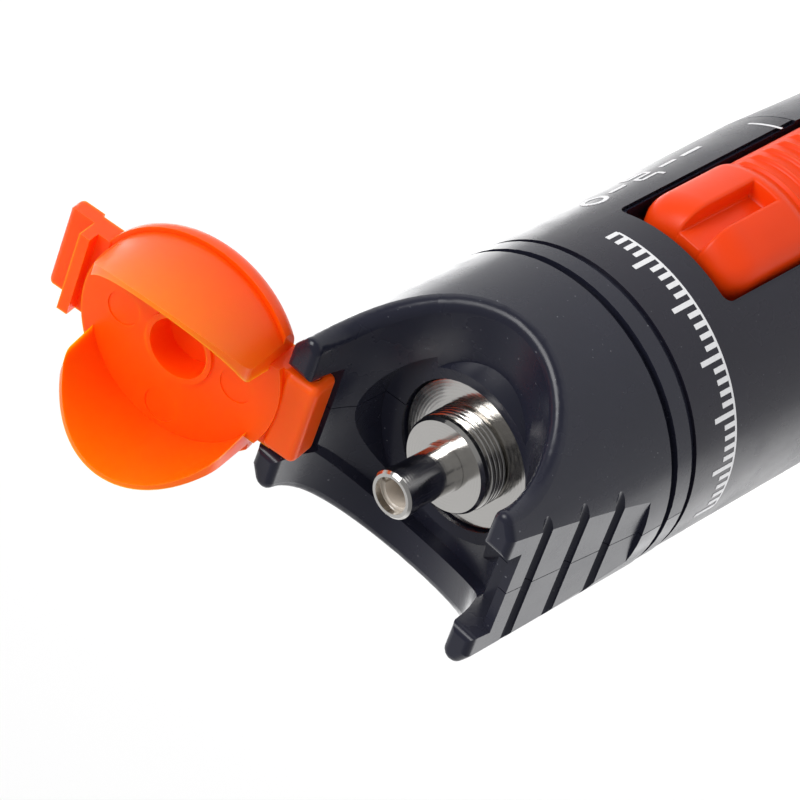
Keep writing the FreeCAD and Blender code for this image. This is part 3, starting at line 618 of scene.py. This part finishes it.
@dataclass
class ThumbSlide:
    """Thumb slide: a crowned pad with a round nose, an open groove and cross ridges, on a thin skirt.

    It stands for the plain solid of the same size.  Lengths are in millimetres, and the distance s is
    measured back from the nose.  The groove's walls rise over groove_wall, under a quarter-round lip.
    Grid rows run round the nose, up to the groove's end wall, over it, along the ridges and round the
    tail; columns run over half the groove, its lip and the rest of the half width.
    """

    nose_level: float
    face: float
    length: float = 25.8
    half_width: float = 5.15
    corner: float = 2.3
    edge: float = 0.9
    crown: float = 7.6
    nose: float = 3.0
    nose_drop: float = 2.7
    tail: float = 1.6
    dish_depth: float = 0.55
    dish_start: float = 8.7
    dish_end: float = 23.6
    dish_run: float = 1.9
    groove_half: float = 1.1
    groove_length: float = 8.3
    groove_depth: float = 1.75
    groove_wall: float = 0.12
    groove_lip: float = 0.45
    ridge_first: float = 10.3
    ridge_pitch: float = 1.6
    ridge_count: int = 8
    ridge_width: float = 0.6
    ridge_height: float = 0.42
    ridge_half: float = 4.0
    ridge_fade: Pair = (-0.5, 0.2)
    least_wall: float = 0.05
    skirt_inner: float = 9.55
    skirt_outer: float = 10.25
    skirt_half: float = 6.6
    skirt_ahead: float = 10.1
    skirt_length: float = 45.3
    wall_rows: Pair = (-0.2, 0.6)
    lip_margin: float = 0.1
    row_counts: tuple[int, ...] = (26, 30, 17, 190, 14)
    column_counts: tuple[int, ...] = (8, 13, 18)
    skirt_counts: tuple[int, int] = (41, 3)

    def surface(self, across: np.ndarray, s: np.ndarray) -> np.ndarray:
        """Work out the height of the pad's skin above the pen's axis.

        The face less an elliptical nose, a rounded tail, a shallow dish, the crown's arc over x and a
        quarter-round edge; then the groove is cut to its floor and the ridges are added as raised
        cosines.

        Args:
            across: x of each point.
            s: distance back from the nose.

        Returns:
            Array of heights, the same shape.
        """
        level = self.face - self.nose_drop * round_drop(s, self.nose) / self.nose
        level = level - round_drop(self.length - s, self.tail)
        dish = smooth_step(s, self.dish_start, self.dish_start + self.dish_run) * (
            1.0 - smooth_step(s, self.dish_end - self.dish_run, self.dish_end))
        level = level - self.dish_depth * dish
        level = level - (self.crown - np.sqrt(self.crown ** 2 - across ** 2))
        level = level - round_drop(self.half_span(s) - np.abs(across), self.edge)
        outside = np.hypot(np.maximum(np.abs(across) - self.groove_half, 0.0),
                           np.maximum(s - self.groove_length, 0.0))
        level = level - round_drop(outside, self.groove_lip) * (outside > 0.0)
        cut = 1.0 - smooth_step(outside, 0.0, self.groove_wall)
        level = level - cut * np.maximum(level - (self.face - self.groove_depth), 0.0)
        half_pitch = self.ridge_pitch / 2.0
        phase = (s - self.ridge_first + half_pitch) % self.ridge_pitch - half_pitch
        near = np.clip(np.abs(phase) / (self.ridge_width / 2.0), 0.0, 1.0)
        ridge = 0.5 + 0.5 * np.cos(math.pi * near)
        last = self.ridge_first + self.ridge_pitch * (self.ridge_count - 0.5)
        ridge = ridge * (s > self.ridge_first - half_pitch) * (s < last)
        start, end = self.ridge_half + self.ridge_fade[0], self.ridge_half + self.ridge_fade[1]
        return level + self.ridge_height * ridge * (1.0 - smooth_step(np.abs(across), start, end))

    def half_span(self, s: np.ndarray) -> np.ndarray:
        """Half width of the outline at s: full, less a quarter-round corner at both ends."""
        end = np.minimum(s, self.length - s)
        return self.half_width - round_drop(end, self.corner)

    def stations(self) -> np.ndarray:
        """Space the rows of the pad's grid, closest where the skin turns.

        Returns:
            Distances back from the nose.
        """
        low, high = self.groove_length + self.wall_rows[0], self.groove_length + self.wall_rows[1]
        nose, before, wall, ridges, tail = self.row_counts
        return np.unique(np.round(np.concatenate([
            round_steps(self.nose, nose),
            np.linspace(self.nose, low, before),
            np.linspace(low, high, wall),
            np.linspace(high, self.length - self.tail, ridges),
            self.length - round_steps(self.tail, tail)]), 5))

    def pad(self) -> tuple[np.ndarray, np.ndarray]:
        """Lay out the pad: x runs over the outline's width at each distance from the nose.

        Columns keep their x out to just past the groove's lip, and from there they spread to the
        outline, closer together near its edge.  The underside is an arc about the pen's axis.

        Returns:
            Grids of the skin and of the underside.
        """
        s = self.stations()
        groove, lip, rest = self.column_counts
        fixed = self.groove_half + self.groove_lip + self.lip_margin
        inner = np.concatenate([np.linspace(0.0, self.groove_half, groove, endpoint=False),
                                np.linspace(self.groove_half, fixed, lip)])
        share = np.sin(np.linspace(0.0, QUARTER_TURN, rest))[1:]
        spread = (self.half_span(s)[:, None] - fixed) * share[None, :]
        right = np.concatenate([np.broadcast_to(inner, (len(s), len(inner))), fixed + spread], axis=1)
        across = np.concatenate([-right[:, :0:-1], right], axis=1)
        s = np.broadcast_to(s[:, None], across.shape)
        under = np.sqrt(((self.skirt_inner + self.skirt_outer) / 2.0) ** 2 - across ** 2)
        level = np.maximum(self.surface(across, s), under + self.least_wall)
        height = self.nose_level - s
        return np.stack([across, -level, height], axis=2), np.stack([across, -under, height], axis=2)

    def skirt(self) -> tuple[np.ndarray, np.ndarray]:
        """Lay out the skirt: arcs about the pen's axis.

        Returns:
            Grids of the outer and of the inner face.
        """
        half = math.asin(self.skirt_half / self.skirt_outer)
        front = self.nose_level + self.skirt_ahead
        angle, height = np.meshgrid(np.linspace(-half, half, self.skirt_counts[0]),
                                    np.linspace(front, front - self.skirt_length, self.skirt_counts[1]))
        outer, inner = (np.stack([radius * np.sin(angle), -radius * np.cos(angle), height], axis=2)
                        for radius in (self.skirt_outer, self.skirt_inner))
        return outer, inner

    def build(self) -> None:
        """Join pad and skirt in one piece that stands for the plain slide."""
        points, faces, count = [], [], 0
        for upper, lower in (self.pad(), self.skirt()):
            rows, columns = upper.shape[:2]
            points += [upper.reshape(-1, 3), lower.reshape(-1, 3)]
            faces.append(slab_faces(rows, columns, count))
            count += 2 * rows * columns
        piece = add_piece("thumb_slide", np.concatenate(points) * MM, np.concatenate(faces),
                          Finish.SLIDE, "slide")
        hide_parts("slide_button")


@dataclass
class SeamTongue:
    """Moulded tongue in the seam of the two half shells, on both sides, which keeps light out.

    Each side is a thin upright slab in the gap, well under the surface: x from inner to outer, z from
    low to high.  Lengths are in millimetres.
    """

    low: float
    high: float
    inner: float = 10.7
    outer: float = 11.5
    half_width: float = 0.035

    def build(self) -> None:
        """Make both tongues as one piece: each is a slab between two grids of 2 by 2 points."""
        across, along = np.meshgrid([self.inner, self.outer], [self.low, self.high], indexing="ij")
        points, faces = [], []
        for number, side in enumerate((1.0, -1.0)):
            for depth in (-side * self.half_width, side * self.half_width):
                grid = np.stack([side * across, np.full_like(across, depth), along], axis=2)
                points.append(grid.reshape(-1, 3))
            faces.append(slab_faces(2, 2, 8 * number))
        add_piece("seam_tongue", np.concatenate(points) * MM, np.concatenate(faces), Finish.SHELL,
                  "barrel", smooth=False)


@dataclass
class Strokes:
    """Ink strokes wrapped on the barrel, gathered into one closed mesh.

    A stroke is a straight ribbon on the unrolled barrel, between two places given as (degrees, mm).
    It is a thin box bent round the axis: a corner at angle a, radius r and height h is at
    (r cos a, r sin a, h).
    """

    radius_mm: float
    ink_mm: float = 0.03
    width_mm: float = 0.42
    steps: int = 6

    def __post_init__(self) -> None:
        """Start with no points and no faces; per_degree is the arc length of one degree."""
        self.per_degree = self.radius_mm * math.pi / 180.0
        self.points: list[np.ndarray] = []
        self.faces: list[np.ndarray] = []
        self.count = 0

    def stroke(self, start: Pair, end: Pair, width_mm: float = 0.0) -> None:
        """Add one ribbon.

        Args:
            start: first end, as (degrees, mm).
            end: other end.
            width_mm: ribbon width; zero takes the usual one.
        """
        flat_start = np.array([start[0] * self.per_degree, start[1]])
        flat_end = np.array([end[0] * self.per_degree, end[1]])
        run = flat_end - flat_start
        run = run / np.linalg.norm(run)
        side = np.array([-run[1], run[0]]) * (width_mm or self.width_mm) / 2.0
        share = np.linspace(0.0, 1.0, self.steps + 1)[:, None]
        middle = flat_start + (flat_end - flat_start) * share
        rails = np.concatenate([middle - side, middle + side])
        angle = rails[:, 0] / self.radius_mm
        rings = []
        for radius in (self.radius_mm, self.radius_mm + self.ink_mm):
            rings.append(np.stack([radius * np.cos(angle), radius * np.sin(angle), rails[:, 1]], axis=1))
        self.points.append(np.concatenate(rings) * MM)
        self.faces.append(self._box_faces(self.steps + 1) + self.count)
        self.count += 4 * (self.steps + 1)

    def _box_faces(self, rail: int) -> np.ndarray:
        """Number the faces of one bent box.

        Args:
            rail: number of points on each of its four long edges.

        Returns:
            Array of quads: four sides and two end caps.
        """
        # rails in order round the section: inner low, outer low, outer high, inner high
        order = np.array([0, 2, 3, 1]) * rail
        step = np.arange(rail - 1)
        sides = [np.stack([low + step, low + step + 1, high + step + 1, high + step], axis=1)
                 for low, high in zip(order, np.roll(order, -1))]
        caps = np.stack([order, order[::-1] + rail - 1])
        return np.concatenate(sides + [caps])

    def circle(self, centre: Pair, radius_mm: float, parts: int = 20) -> None:
        """Add a ring of short strokes.

        Args:
            centre: its centre, as (degrees, mm).
            radius_mm: radius of the middle of the line.
            parts: number of strokes.
        """
        turns = [FULL_TURN * k / parts for k in range(parts + 1)]
        corners = [(centre[0] + radius_mm * math.cos(turn) / self.per_degree,
                    centre[1] + radius_mm * math.sin(turn)) for turn in turns]
        for first, second in zip(corners, corners[1:]):
            self.stroke(first, second)

    def piece(self, name: str) -> None:
        """Make the gathered strokes one printed piece."""
        add_piece(name, np.concatenate(self.points), np.concatenate(self.faces), Finish.INK,
                  "barrel", smooth=False)


class Mode(Enum):
    """Generic signs beside the slide, each with its distance behind the head in millimetres."""

    OFF = 11.6
    PULSED = 17.2
    STEADY = 23.0


@dataclass
class Print:
    """Generic white marks on the barrel: a scale behind the head and signs beside the slide.

    Angles are in degrees round the barrel, and heights are measured from the head's rear end.
    """

    head_rear_mm: float
    radius_mm: float
    scale_low_mm: float = -7.6
    scale_high_mm: float = -5.3
    scale_start: float = -190.0
    scale_end: float = -72.0
    scale_width_mm: float = 0.2
    tick_step: float = 4.0
    tall_tick: int = 5
    short_tick: float = 0.55
    sign_angle: float = -48.0
    ring_radius_mm: float = 0.95
    bar_half_mm: float = 1.1
    bar_width_mm: float = 0.5
    wave_step: float = 3.5
    wave_half_mm: float = 0.9
    wave_width_mm: float = 0.3
    leaders_mm: Pair = (-14.3, -20.2)
    leader_half_mm: float = 0.9
    end_height_mm: float = -29.5
    end_angles: Pair = (-65.0, -50.0)
    end_width_mm: float = 0.25

    def build(self) -> None:
        """Print the scale, the signs and the end line."""
        self.scale()
        self.signs()
        self.end_line()

    def scale(self) -> None:
        """Print ticks round the barrel, each fifth one full height, over a thin base line."""
        ink = Strokes(self.radius_mm)
        angles = np.arange(self.scale_start, self.scale_end, self.tick_step)
        low, high = self.head_rear_mm + self.scale_low_mm, self.head_rear_mm + self.scale_high_mm
        for number, angle in enumerate(angles):
            top = high if number % self.tall_tick == 0 else low + (high - low) * self.short_tick
            ink.stroke((angle, low), (angle, top))
        for first, second in zip(angles, angles[1:]):
            ink.stroke((first, low), (second, low), self.scale_width_mm)
        ink.piece("print_scale")

    def signs(self) -> None:
        """Print one sign for each place of the slide, with leader lines between them."""
        ink = Strokes(self.radius_mm)
        for mode in Mode:
            self.sign(ink, mode, self.head_rear_mm - mode.value)
        for offset in self.leaders_mm:
            middle = self.head_rear_mm + offset
            ink.stroke((self.sign_angle, middle - self.leader_half_mm),
                       (self.sign_angle, middle + self.leader_half_mm))
        ink.piece("print_signs")

    def sign(self, ink: Strokes, mode: Mode, height: float) -> None:
        """Draw one sign: a ring, a square wave or a bar.

        Args:
            ink: strokes that receive it.
            mode: which sign.
            height: its middle, in millimetres from the tail.
        """
        centre = self.sign_angle
        if mode is Mode.OFF:
            ink.circle((centre, height), self.ring_radius_mm)
        elif mode is Mode.STEADY:
            ink.stroke((centre, height - self.bar_half_mm), (centre, height + self.bar_half_mm),
                       self.bar_width_mm)
        else:
            # corners of the wave as steps round the barrel and half heights along it
            steps = ((-2, -1), (-1, -1), (-1, 1), (0, 1), (0, -1), (1, -1), (1, 1), (2, 1))
            corners = [(centre + self.wave_step * across, height + self.wave_half_mm * up)
                       for across, up in steps]
            for first, second in zip(corners, corners[1:]):
                ink.stroke(first, second, self.wave_width_mm)

    def end_line(self) -> None:
        """Print a short thin line round the barrel at the rear end of the slide."""
        ink = Strokes(self.radius_mm, steps=24)
        height = self.head_rear_mm + self.end_height_mm
        start, end = self.end_angles
        ink.stroke((start, height), (end, height), self.end_width_mm)
        ink.piece("print_end_line")


@dataclass
class Thread:
    """Rolled thread of the connector: a helical ridge that runs out smoothly at both ends."""

    low_mm: float
    high_mm: float
    root_mm: float = 3.62
    crest_mm: float = 3.98
    pitch_mm: float = 0.42
    steepness: float = 1.35
    runout: float = 0.5
    wall_mm: float = 0.15
    round_points: int = 120
    per_turn: int = 12

    def build(self) -> None:
        """Make the threaded sleeve round the connector's core.

        At angle a and height h the outer radius is the root plus the ridge height times a triangle
        wave of (h / pitch - a / full turn), steepened and cut flat at its crest, and the ridge fades to
        nothing over half a pitch at both ends.  A plain inner wall closes it.
        """
        length = self.high_mm - self.low_mm
        count = int(length / self.pitch_mm * self.per_turn)
        height = np.linspace(self.low_mm, self.high_mm, count)
        angle = np.linspace(0.0, FULL_TURN, self.round_points, endpoint=False)
        wave = (height[:, None] / self.pitch_mm - angle[None, :] / FULL_TURN) % 1.0
        ridge = np.clip(self.steepness * (1.0 - np.abs(2.0 * wave - 1.0)), 0.0, 1.0)
        fade = np.minimum(height - self.low_mm, self.high_mm - height) / (self.pitch_mm * self.runout)
        outer = self.root_mm + (self.crest_mm - self.root_mm) * ridge * np.clip(fade, 0.0, 1.0)[:, None]
        inner = np.full((2, self.round_points), self.root_mm - self.wall_mm)
        radius = np.concatenate([outer, inner])
        level = np.concatenate([height, [self.high_mm, self.low_mm]])[:, None] * np.ones_like(radius)
        points = np.stack([radius * np.cos(angle), radius * np.sin(angle), level], axis=2).reshape(-1, 3)
        add_piece("connector_thread", points * MM, grid_faces(len(radius), self.round_points),
                  Finish.NICKEL, "barrel")


# ---------------- studio

@dataclass(frozen=True)
class Lamp:
    """Square area lamp that faces the head: place and side in metres, power in watts."""

    name: str
    place: Point
    side: float
    power: float


LAMPS = (
    Lamp("key", (0.36, -0.50, 0.66), 0.36, 3.6),
    Lamp("low", (-0.11, 0.13, 0.03), 0.18, 0.16),
    Lamp("rim", (0.13, 0.11, 0.03), 0.18, 0.21),
)


@dataclass
class Studio:
    """White sweep, soft lamps and the camera.

    The camera's three axes are unit vectors.  Room values are strengths and card values greys, and the
    grade is the range of cosines over which the reflected room goes from dark to white.
    """

    focal_mm: float = 253.59
    sensor_mm: float = 36.0
    clip_m: Pair = (0.01, 20.0)
    place_mm: Point = (-151.9, -279.3, 437.0)
    right: Point = (-0.6893, -0.2638, -0.6748)
    up: Point = (0.6185, -0.6993, -0.3584)
    back: Point = (-0.3774, -0.6643, 0.6452)
    aim: Point = (0.0, 0.0, 0.16)
    room_even: float = 0.85
    room_dark: float = 0.25
    room_grade: Pair = (-0.1, 0.5)
    floor_half_m: float = 12.0
    card_even: float = 0.7
    card_seen: float = 0.95
    card_roughness: float = 0.9

    def camera(self) -> None:
        """Add the camera, turned by its three axes and placed in metres."""
        data = bpy.data.cameras.new("camera")
        data.sensor_width = self.sensor_mm
        data.lens = self.focal_mm
        data.clip_start, data.clip_end = self.clip_m
        camera = bpy.data.objects.new("camera", data)
        bpy.context.collection.objects.link(camera)
        turn = Matrix((self.right, self.up, self.back)).transposed().to_4x4()
        camera.matrix_world = Matrix.Translation(Vector(self.place_mm) * MM) @ turn
        bpy.context.scene.camera = camera

    def light(self, lamp: Lamp) -> None:
        """Add one lamp, turned to the head.

        Args:
            lamp: its name, place, size and power.
        """
        data = bpy.data.lights.new(lamp.name, "AREA")
        data.size = lamp.side
        data.energy = lamp.power
        item = bpy.data.objects.new(lamp.name, data)
        item.location = lamp.place
        item.rotation_mode = "QUATERNION"
        item.rotation_quaternion = (Vector(lamp.place) - Vector(self.aim)).to_track_quat("Z", "Y")
        item.visible_camera = False
        bpy.context.collection.objects.link(item)

    def world(self) -> None:
        """White room: even for matt light, white where it is seen, and graded for reflections.

        A reflection shows the same white behind the pen, and falls to room_dark on the side where the
        camera stands; its strength follows the cosine of the angle from the line of sight.
        """
        world = bpy.data.worlds.new("studio")
        bpy.context.scene.world = world
        world.use_nodes = True
        tree = world.node_tree
        tree.nodes.clear()
        direction = add_node(tree, "TexCoord").outputs["Generated"]
        ahead = add_node(tree, "VectorMath", settings={"operation": "DOT_PRODUCT"},
                         links={0: direction}, inputs={1: tuple(-c for c in self.back)})
        graded = add_node(tree, "MapRange", links={"Value": ahead.outputs["Value"]},
                          inputs=span(self.room_grade, (self.room_dark, 1.0)))
        colour = {"Color": (1.0, 1.0, 1.0, 1.0)}
        even = add_node(tree, "Background", inputs=colour | {"Strength": self.room_even})
        gloss = add_node(tree, "Background", inputs=colour,
                         links={"Strength": graded.outputs["Result"]})
        white = add_node(tree, "Background", inputs=colour)
        path = add_node(tree, "LightPath")
        light = add_node(tree, "MixShader", links={
            0: path.outputs["Is Glossy Ray"], 1: even.outputs["Background"],
            2: gloss.outputs["Background"]})
        seen = add_node(tree, "Math", settings={"operation": "MAXIMUM"}, links={
            0: path.outputs["Is Camera Ray"], 1: path.outputs["Is Transmission Ray"]})
        mix = add_node(tree, "MixShader", links={
            0: seen.outputs["Value"], 1: light.outputs["Shader"], 2: white.outputs["Background"]})
        add_node(tree, "OutputWorld", links={"Surface": mix.outputs["Shader"]})

    def floor(self) -> None:
        """Flat pale floor under the tail: matt card, nearly white where it is seen or mirrored."""
        half = self.floor_half_m
        mesh = bpy.data.meshes.new("floor")
        mesh.from_pydata([(-half, -half, 0), (half, -half, 0), (half, half, 0), (-half, half, 0)],
                         [], [(0, 1, 2, 3)])
        floor = bpy.data.objects.new("floor", mesh)
        bpy.context.collection.objects.link(floor)
        surface = Surface("card_matt_white")
        path = add_node(surface.tree, "LightPath")
        mirrored = add_node(surface.tree, "Math", settings={"operation": "MAXIMUM"}, links={
            0: path.outputs["Is Glossy Ray"], 1: path.outputs["Is Transmission Ray"]})
        seen = add_node(surface.tree, "Math", settings={"operation": "MAXIMUM"}, links={
            0: path.outputs["Is Camera Ray"], 1: mirrored.outputs["Value"]})
        even, pale = self.card_even, self.card_seen
        surface.follow(seen.outputs["Value"], tones=((even, even, even, 1.0), (pale, pale, pale, 1.0)))
        surface.set({"Roughness": self.card_roughness})
        mesh.materials.append(surface.material)

    def build(self) -> None:
        """Set up camera, floor, world and lamps."""
        self.camera()
        self.floor()
        self.world()
        for lamp in LAMPS:
            self.light(lamp)
        bpy.context.scene.view_settings.view_transform = "Standard"


# ---------------- the locator

DRESS = {
    Finish.SHELL: ("upper_shell", "lower_shell", "tail_cap"),
    Finish.FILM: ("label_sleeve",),
    Finish.ORANGE: ("dust_cap",),
    Finish.LEVER: ("switch_lever",),
    Finish.CHIP: ("driver_chip",),
    Finish.RUBBER: ("seal_ring",),
    Finish.NICKEL: ("connector_flange", "ferrule_tube"),
    Finish.BRASS: ("laser_barrel",),
    Finish.STEEL: ("slide_switch", "laser_diode", "tail_spring"),
    Finish.PIN: ("hinge_pin",),
    Finish.CONTACT: ("front_contact",),
    Finish.ZIRCONIA: ("ceramic_sleeve",),
    Finish.GLASS: ("collimator_lens",),
    Finish.BOARD: ("circuit_board",),
    Finish.CELL: ("rear_cell", "front_cell"),
}


@dataclass
class Locator:
    """The pen: its carried-over solids and the pieces that are only seen.

    Lengths are in millimetres, and those marked "from the head" are measured from its rear end: the
    slide's nose, the seam tongue's upper end, and both ends of the connector's thread.
    """

    head_rear: float
    label_radius: float
    slide_nose: float = -11.8      # from the head
    slide_rise: float = 1.3        # of its face over the label
    tongue_low: float = 20.0       # from the tail's end
    tongue_high: float = 13.2      # from the head
    thread_low: float = 7.98       # from the head
    thread_high: float = 9.92      # from the head

    def dress(self) -> None:
        """Give every carried-over solid its finish."""
        for finish, nodes in DRESS.items():
            for node in nodes:
                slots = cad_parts[node].data.materials
                slots.clear()
                slots.append(finish.material())
                LOG.info("dressed %s: %s", node, finish.value.name)

    def build(self) -> None:
        """Dress the solids and add the print, the slide, the seam tongue and the thread."""
        self.dress()
        Print(self.head_rear, self.label_radius).build()
        ThumbSlide(self.head_rear + self.slide_nose, self.label_radius + self.slide_rise).build()
        SeamTongue(self.tongue_low, self.head_rear + self.tongue_high).build()
        Thread(self.head_rear + self.thread_low, self.head_rear + self.thread_high).build()


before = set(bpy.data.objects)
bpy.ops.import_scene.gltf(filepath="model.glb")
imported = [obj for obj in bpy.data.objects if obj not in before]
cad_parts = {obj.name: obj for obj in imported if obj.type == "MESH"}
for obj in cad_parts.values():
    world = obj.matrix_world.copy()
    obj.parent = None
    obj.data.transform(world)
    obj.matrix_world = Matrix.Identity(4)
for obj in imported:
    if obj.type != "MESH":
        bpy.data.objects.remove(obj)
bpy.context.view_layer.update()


def main() -> None:
    """Build the studio and the locator."""
    Studio().build()
    pen_top = round(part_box("upper_shell")[1][2] / MM, 2)
    label_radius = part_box("label_sleeve")[1][0] / MM
    Locator(pen_top - HEAD_LENGTH_MM, label_radius).build()


if __name__ == "__main__":
    main()
